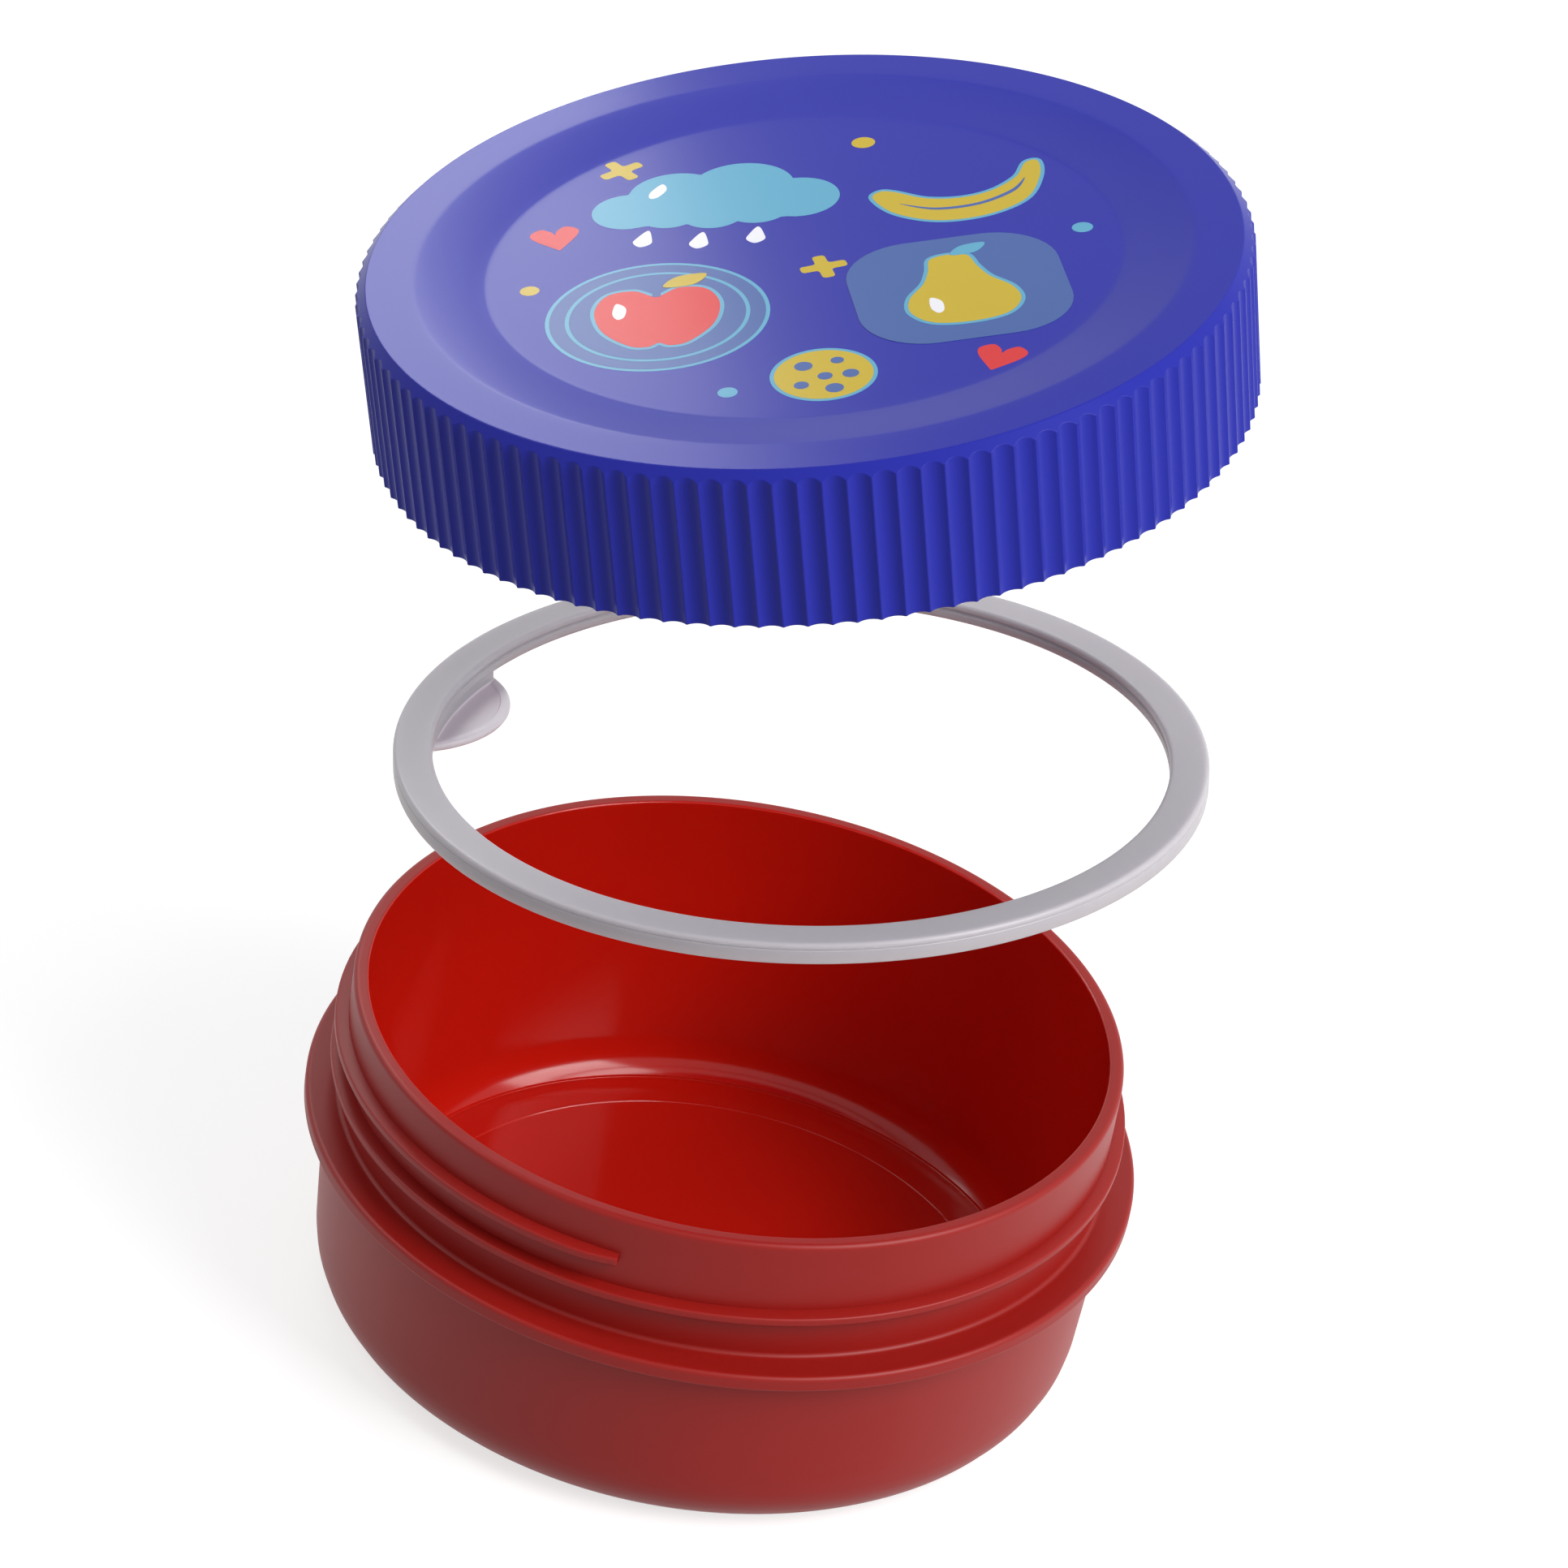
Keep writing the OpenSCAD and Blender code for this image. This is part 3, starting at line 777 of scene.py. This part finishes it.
class MakeLid(Operator):
    """Makes the lid: one slice through a flute, repeated all the way round."""

    bl_idname = "snack_container.make_lid"
    bl_label = "Make lid"

    def execute(self, context):
        lid = settings().lid
        mesh = grown(self.slice_mesh(lid), repeat_round_tree(), {
            "Count": lid.flutes, "Join distance": 0.004 * MM, "Material": blue_plastic()})
        piece("lid_shell", mesh, blue_plastic(), "lid", "lid")
        return {"FINISHED"}

    def slice_mesh(self, lid):
        """The wall of the lid over one flute, from rib to rib."""
        columns = self.columns(lid)
        loops = [self.outline(lid, radius) for turn, radius in columns]
        points = [(r * math.cos(turn), r * math.sin(turn), z)
                  for (turn, radius), loop in zip(columns, loops) for r, z in loop]
        count = len(loops[0])
        faces = []
        for c in range(len(columns) - 1):
            for k in range(count - 1):
                here = c * count + k
                faces.append((here, here + count, here + count + 1, here + 1))
        return new_mesh("lid_slice", points, faces)

    def columns(self, lid, steps=8):
        """Angle and outer radius at each column of the slice: a round flute between two ribs."""
        half = math.pi / lid.flutes
        chord = 2 * lid.radius * math.sin(half) - lid.rib
        rise = lid.flute_depth - lid.radius * (1 - math.cos(half))
        round_r = (chord ** 2 / 4 + rise ** 2) / (2 * rise)
        centre = lid.radius - lid.flute_depth + round_r
        edge = math.acos((lid.radius ** 2 + centre ** 2 - round_r ** 2) / (2 * lid.radius * centre))
        across = [edge * (2 * k / steps - 1) for k in range(steps + 1)]
        flute = [(a, centre * math.cos(a) - math.sqrt(round_r ** 2 - (centre * math.sin(a)) ** 2))
                 for a in across]
        return [(-half, lid.radius), *flute, (half, lid.radius)]

    def outline(self, lid, radius):
        """Section of the lid where its skirt has this outer radius."""
        top = lid.top
        edge = lid.radius - lid.chamfer_width
        ring = edge - lid.ring
        middle = ring - lid.slope
        shoulder = top - (radius - edge) * lid.chamfer_height / lid.chamfer_width
        ceiling = top - lid.plate
        seal = settings().seal
        rib_out = seal.bore - lid.seal_rib_gap
        rib_in = rib_out - lid.seal_rib_width
        under = top - lid.sink * (ring - rib_in) / lid.slope - lid.plate
        return filleted([
            (0, top - lid.sink, 0), (middle, top - lid.sink, lid.dish_round), (ring, top, lid.dish_round),
            (edge, top, 0.25 * MM), (radius, shoulder, 0.12 * MM), (radius, lid.low_edge, 0.15 * MM),
            (lid.bore + lid.bevel, lid.low_edge, 0.05 * MM), (lid.bore, lid.low_edge + lid.bevel, 0.05 * MM),
            (lid.bore, ceiling, 0.3 * MM), (rib_out, ceiling, 0.3 * MM),
            (rib_out, ceiling - lid.seal_rib, 0.3 * MM), (rib_in, ceiling - lid.seal_rib, 0.3 * MM),
            (rib_in, under, 0.3 * MM), (middle, top - lid.sink - lid.plate, 1.0 * MM),
            (0, top - lid.sink - lid.plate, 0),
        ], steps=3)


class MakeLidThread(Operator):
    """Makes the thread inside the lid's skirt."""

    bl_idname = "snack_container.make_lid_thread"
    bl_label = "Make lid thread"

    def execute(self, context):
        thread, lid = settings().thread, settings().lid
        drop = (thread.root_width + thread.crest_width) / 2 + thread.flank_gap
        mesh = thread_mesh(
            lid.bore, -thread.lid_height, thread.lid_turns, rounding=0.25 * MM,
            material=blue_plastic(), lead=thread.lid_lead, drop=drop)
        piece("lid_thread", mesh, blue_plastic(), "lid")
        return {"FINISHED"}


# ---------------- print on the lid

def spline(points, steps=8):
    """A smooth closed outline through points."""
    count = len(points)
    outline = []
    for i in range(count):
        before, here, on, after = (Vector(points[(i + k) % count]) for k in (-1, 0, 1, 2))
        for k in range(steps):
            t = k / steps
            outline.append(0.5 * (
                2 * here + (on - before) * t + (2 * before - 5 * here + 4 * on - after) * t ** 2
                + (3 * here - before - 3 * on + after) * t ** 3))
    return outline


def mirrored(half):
    """Points of a shape that is the same on both sides of Y, from those on its right side, top to bottom."""
    return half + [(-x, y) for x, y in reversed(half) if x > 0]


def disc(radius, steps=72):
    """A circle's outline."""
    return [Vector(p) for p in arc(0, 0, radius, 0, 360 - 360 / steps, steps - 1)]


def puffed(circles, steps=160):
    """Outline round a heap of circles (x, y, radius), as seen from the origin."""
    outline = []
    for k in range(steps):
        way = Vector((math.cos(math.tau * k / steps), math.sin(math.tau * k / steps)))
        reach = 0
        for x, y, radius in circles:
            along = Vector((x, y)).dot(way)
            inside = along ** 2 - x * x - y * y + radius ** 2
            if inside >= 0:
                reach = max(reach, along + math.sqrt(inside))
        outline.append(way * reach)
    return outline


def widened(outline, width):
    """The outline moved outwards by a width."""
    count = len(outline)
    area = sum(outline[i - 1].cross(outline[i]) for i in range(count))
    side = math.copysign(width, area)
    wide = []
    for i in range(count):
        along = (outline[(i + 1) % count] - outline[i - 1]).normalized()
        wide.append(outline[i] + Vector((along.y, -along.x)) * side)
    return wide


def moved(outline, x, y, turn=0):
    """The outline turned by degrees and moved to its place."""
    spin = Matrix.Rotation(math.radians(turn), 2)
    return [spin @ Vector(p) + Vector((x, y)) for p in outline]


# Outlines in millimetres, about their own middle
APPLE = spline(mirrored([
    (0, 5.0), (2.7, 6.8), (6.0, 6.1), (7.6, 2.2), (6.7, -3.0), (3.7, -6.9), (1.4, -7.6), (0, -6.8)]))
APPLE_LEAF = spline([(0.9, 7.2), (2.6, 9.6), (6.2, 9.9), (4.6, 7.4)])
APPLE_STEM = filleted([(-0.5, 4.9, 0), (0.5, 4.9, 0), (0.7, 8.4, 0.2), (-0.5, 8.8, 0.2)])
PEAR = spline(mirrored([
    (0, 8.6), (2.3, 7.9), (3.0, 5.0), (4.1, 1.9), (6.3, -1.4), (6.7, -4.9), (4.5, -7.9), (0, -8.8)]))
PEAR_LEAF = spline([(0.3, 8.4), (1.8, 10.4), (4.9, 10.6), (3.4, 8.5)])
BANANA = spline([
    (-10.4, 3.6), (-9.2, -1.3), (-5.0, -5.4), (1.0, -6.6), (6.8, -4.7), (10.4, 0.2), (11.6, 4.2),
    (10.0, 4.4), (7.6, 1.3), (3.6, -0.8), (-0.5, -0.9), (-4.4, 0.8), (-7.4, 4.1), (-9.0, 5.0)])
BANANA_SIDE = spline([
    (-7.9, 0.9), (-4.4, -2.6), (1.0, -3.7), (6.2, -2.2), (8.6, 0.7), (5.9, -1.7), (1.0, -3.1), (-4.2, -2.1)])
CLOUD = puffed([(-10.5, -1.6, 4.6), (-4.6, 2.0, 6.0), (3.6, 3.0, 6.6), (10.6, -0.6, 5.2), (0, -3.4, 4.0),
                (5.5, -2.6, 4.2), (-5.5, -2.6, 4.0)])
SHINE = spline([(-0.8, 1.9), (0.6, 1.0), (0.9, -1.2), (0.2, -1.9), (-0.7, -0.6)])
DROP = spline([(0, 2.4), (1.0, 0.2), (1.1, -1.0), (0, -1.9), (-1.1, -1.0), (-1.0, 0.2)])
HEART = spline(mirrored([
    (0, 1.1), (0.4, 2.0), (1.6, 2.9), (3.0, 1.8), (2.6, 0.1), (0.5, -2.6), (0, -3.1)]))
PLUS = filleted([(x, y, 0.5) for x, y in (
    (0.8, 0.8), (0.8, 2.9), (-0.8, 2.9), (-0.8, 0.8), (-2.9, 0.8), (-2.9, -0.8), (-0.8, -0.8), (-0.8, -2.9),
    (0.8, -2.9), (0.8, -0.8), (2.9, -0.8), (2.9, 0.8))])
CARD = filleted([(10.6, 10.6, 6), (-10.6, 10.6, 6), (-10.6, -10.6, 6), (10.6, -10.6, 6)], steps=10)


def printed_shapes():
    """What is printed on the lid: ink, layer and outline of each shape.

    The places are millimetres from the middle of the disc, some with a turn in degrees.
    """
    line = 0.5
    badge, badge_radius, badge_ring = (-16.5, -13.5), 13.6, 11.2
    apple = (*badge, 8)
    card, card_inset = (19.5, -7.5, 14), 1.9
    cloud = (-13, 16.5, 6)
    fruit = (18, 17, 24)
    biscuit, biscuit_radius = (5, -28.5), 6.4
    shapes = [
        ("teal", 1, disc(badge_radius), badge), ("slate", 2, disc(badge_radius - line), badge),
        ("teal", 3, disc(badge_ring), badge), ("slate", 4, disc(badge_ring - line), badge),
        ("teal", 5, widened(APPLE, line), apple), ("red", 6, APPLE, apple),
        ("slate", 7, APPLE_STEM, apple), ("ochre", 8, APPLE_LEAF, apple),
        ("white", 7, moved(SHINE, -4.6, 1.8, -14), apple),
        ("teal", 1, CARD, card), ("slate", 2, widened(CARD, -line), card),
        ("teal", 3, widened(CARD, -card_inset), card),
        ("slate", 4, widened(CARD, -card_inset - line), card),
        ("teal", 5, widened(PEAR, line), card), ("ochre", 6, PEAR, card), ("teal", 7, PEAR_LEAF, card),
        ("white", 7, moved(SHINE, -3.4, -3.8, -10), card),
        ("teal", 1, CLOUD, cloud), ("white", 2, moved(SHINE, -6.9, 3.3, -38), cloud),
        ("teal", 1, widened(BANANA, line), fruit), ("ochre", 2, BANANA, fruit),
        ("slate", 3, BANANA_SIDE, fruit),
        ("teal", 1, disc(biscuit_radius), biscuit), ("ochre", 2, disc(biscuit_radius - line), biscuit),
    ]
    shapes += [("slate", 3, moved(disc(r, steps=24), x, y), biscuit) for x, y, r in (
        (-2.6, 2.0, 1.1), (1.3, 3.4, 0.8), (3.2, 0.2, 1.0), (0.2, -0.4, 0.9), (-2.4, -2.6, 0.9),
        (1.6, -3.3, 1.1))]
    shapes += [("white", 1, DROP, place) for place in ((-20.5, 6.3, -8), (-13.5, 5.7, -4), (-6.6, 6.9, 0))]
    shapes += [("ochre", 1, PLUS, place) for place in ((2.5, -1.5, 20), (-25.5, 25, 40))]
    shapes += [("red", 1, HEART, place) for place in ((-31.5, 7, 16), (25.5, -25, -14))]
    shapes += [(tint, 1, disc(r, steps=32), place) for tint, r, place in (
        ("teal", 1.3, (33.5, 7.5)), ("teal", 1.2, (-6, -32.5)),
        ("ochre", 1.5, (4.5, 31.5)), ("ochre", 1.2, (-33, -6.5)))]
    return [(tint, layer, moved(outline, *place)) for tint, layer, outline, place in shapes]


def inked(name, outlines, floor):
    """Thin closed plates on a floor, from the layer number and the outline in millimetres of each."""
    sink, layer_step = 0.02, 0.012
    points, faces = [], []
    for layer, outline in outlines:
        first, count = len(points), len(outline)
        for height in (-sink, layer * layer_step):
            points += [(p.x * MM, p.y * MM, floor + height * MM) for p in outline]
        low = [first + k for k in range(count)]
        high = [k + count for k in low]
        faces += [low[::-1], high]
        faces += [(low[k - 1], low[k], high[k], high[k - 1]) for k in range(count)]
    return new_mesh(name, points, faces)


class MakePrint(Operator):
    """Prints the sunk disc of the lid, one plate for each ink."""

    bl_idname = "snack_container.make_print"
    bl_label = "Make print"

    def execute(self, context):
        lid = settings().lid
        shapes = printed_shapes()
        for tint in ("slate", "teal", "ochre", "red", "white"):
            outlines = [(layer, outline) for name, layer, outline in shapes if name == tint]
            piece("print_" + tint, inked("print_" + tint, outlines, lid.top - lid.sink), ink(tint), "lid")
        return {"FINISHED"}


# ---------------- stage

class MakeStage(Operator):
    """Makes the pale floor, the soft lights, the white surroundings and the camera."""

    bl_idname = "snack_container.make_stage"
    bl_label = "Make stage"

    def execute(self, context):
        self.floor()
        self.surroundings()
        self.lamps()
        self.camera()
        bpy.context.scene.view_settings.view_transform = "Standard"
        return {"FINISHED"}

    def floor(self):
        """A wide floor that takes the object's shadow and shows white, more so further away."""
        side = 4
        corners = [(-side, -side, 0), (side, -side, 0), (side, side, 0), (-side, side, 0)]
        mesh = new_mesh("floor", corners, [(0, 1, 2, 3)])
        material = bpy.data.materials.new("floor paint")
        material.use_nodes = True
        tree = material.node_tree
        shader = tree.nodes["Principled BSDF"]
        shader.inputs["Base Color"].default_value = (0.4, 0.4, 0.4, 1)
        shader.inputs["Roughness"].default_value = 0.9
        shader.inputs["Specular IOR Level"].default_value = 0.1
        shader.inputs["Emission Color"].default_value = (1, 1, 1, 1)
        here = put(tree, "ShaderNodeTexCoord")["Object"]
        away = put(tree, "ShaderNodeVectorMath", {0: here}, operation="LENGTH")["Value"]
        glow = scaled_to(tree, away, 0.7, 0.92, start=0.2, end=1.0)
        strength = maths(tree, "MULTIPLY", seen_directly(tree), glow)
        tree.links.new(strength, shader.inputs["Emission Strength"])
        mesh.materials.append(material)
        in_scene("floor", mesh)

    def surroundings(self):
        """White behind the object, and a softer level of light on it."""
        world = bpy.data.worlds.new("surroundings")
        bpy.context.scene.world = world
        world.use_nodes = True
        tree = world.node_tree
        background = tree.nodes["Background"].inputs
        around = settings().stage.around
        level = maths(tree, "MULTIPLY_ADD", seen_directly(tree), 1 - around, around)
        background["Color"].default_value = (1, 1, 1, 1)
        tree.links.new(level, background["Strength"])

    def lamps(self):
        """Three far lamps, and a near one that the lid mirrors."""
        for name, azimuth, elevation, size, watts in (
                ("key light", 60, 42, 0.9, 22.5), ("fill light", 55, 22, 0.6, 3),
                ("side light", -108, 46, 0.6, 3.8)):
            soft_light(name, from_object(azimuth, elevation), (size, size), watts)
        near = Vector((-0.13, 0.2, 0.268))
        soft_light("near light", near, (0.11, 0.135), 0.285, aim=near - Vector((0, 1, 0)))

    def camera(self):
        """The camera, as the photograph was taken: looking down, with the picture turned a little."""
        stage = settings().stage
        aim = Vector((stage.aim_aside, 0, stage.aim_height))
        back = Vector((0, -math.cos(stage.elevation), math.sin(stage.elevation)))
        eye = bpy.data.cameras.new("camera")
        eye.angle = stage.view_angle
        eye.clip_start = 0.01
        camera = in_scene("camera", eye)
        tilt = Matrix.Rotation(math.pi / 2 - stage.elevation, 4, "X")
        camera.matrix_world = (
            Matrix.Translation(aim + back * stage.distance) @ tilt @ Matrix.Rotation(stage.roll, 4, "Z"))
        bpy.context.scene.camera = camera


def seen_directly(tree):
    """1 where the camera looks, straight or by way of a glossy or clear surface, and 0 elsewhere."""
    seen = put(tree, "ShaderNodeLightPath")
    direct = maths(tree, "MAXIMUM", seen["Is Camera Ray"], seen["Is Glossy Ray"])
    return maths(tree, "MAXIMUM", direct, seen["Is Transmission Ray"])


def from_object(azimuth, elevation):
    """A lamp's place as seen from the object, with the azimuth in degrees from the front to the right."""
    turn, rise = math.radians(azimuth), math.radians(elevation)
    way = Vector((math.sin(turn) * math.cos(rise), -math.cos(turn) * math.cos(rise), math.sin(rise)))
    return LIGHT_AIM + way * settings().stage.lamp_distance


def soft_light(name, place, size, watts, aim=LIGHT_AIM):
    """A soft box of a width and a height, aimed at the object unless it says otherwise."""
    lamp = bpy.data.lights.new(name, "AREA")
    lamp.shape = "RECTANGLE"
    lamp.size, lamp.size_y = size
    lamp.energy = watts
    box = in_scene(name, lamp)
    box.location = place
    box.rotation_euler = (aim - place).to_track_quat("-Z", "Y").to_euler()


# ---------------- panel and main

class SnackContainerPanel(Panel):
    """Lists the steps that make the container."""

    bl_idname = "VIEW3D_PT_snack_container"
    bl_label = "Snack container"
    bl_space_type = "VIEW_3D"
    bl_region_type = "UI"
    bl_category = "Snack container"

    def draw(self, context):
        for step in STEPS:
            self.layout.operator(step.bl_idname)


STEPS = (MakeStage, MakeCup, MakeCupThread, MakeSeal, MakeLid, MakeLidThread, MakePrint)
GROUPS = (CupSizes, ThreadSizes, SealSizes, LidSizes, Finishes, StageSizes, SnackContainerSettings)


def register():
    """Registers the add-on's classes and its settings."""
    for kind in (*GROUPS, *STEPS, SnackContainerPanel):
        bpy.utils.register_class(kind)
    bpy.types.Scene.snack_container = PointerProperty(type=SnackContainerSettings)


def unregister():
    """Takes the settings and the classes out again."""
    del bpy.types.Scene.snack_container
    for kind in reversed((*GROUPS, *STEPS, SnackContainerPanel)):
        bpy.utils.unregister_class(kind)


def main():
    """Makes the whole scene."""
    register()
    for step in STEPS:
        group, name = step.bl_idname.split(".")
        getattr(getattr(bpy.ops, group), name)()


if __name__ == "__main__":
    main()
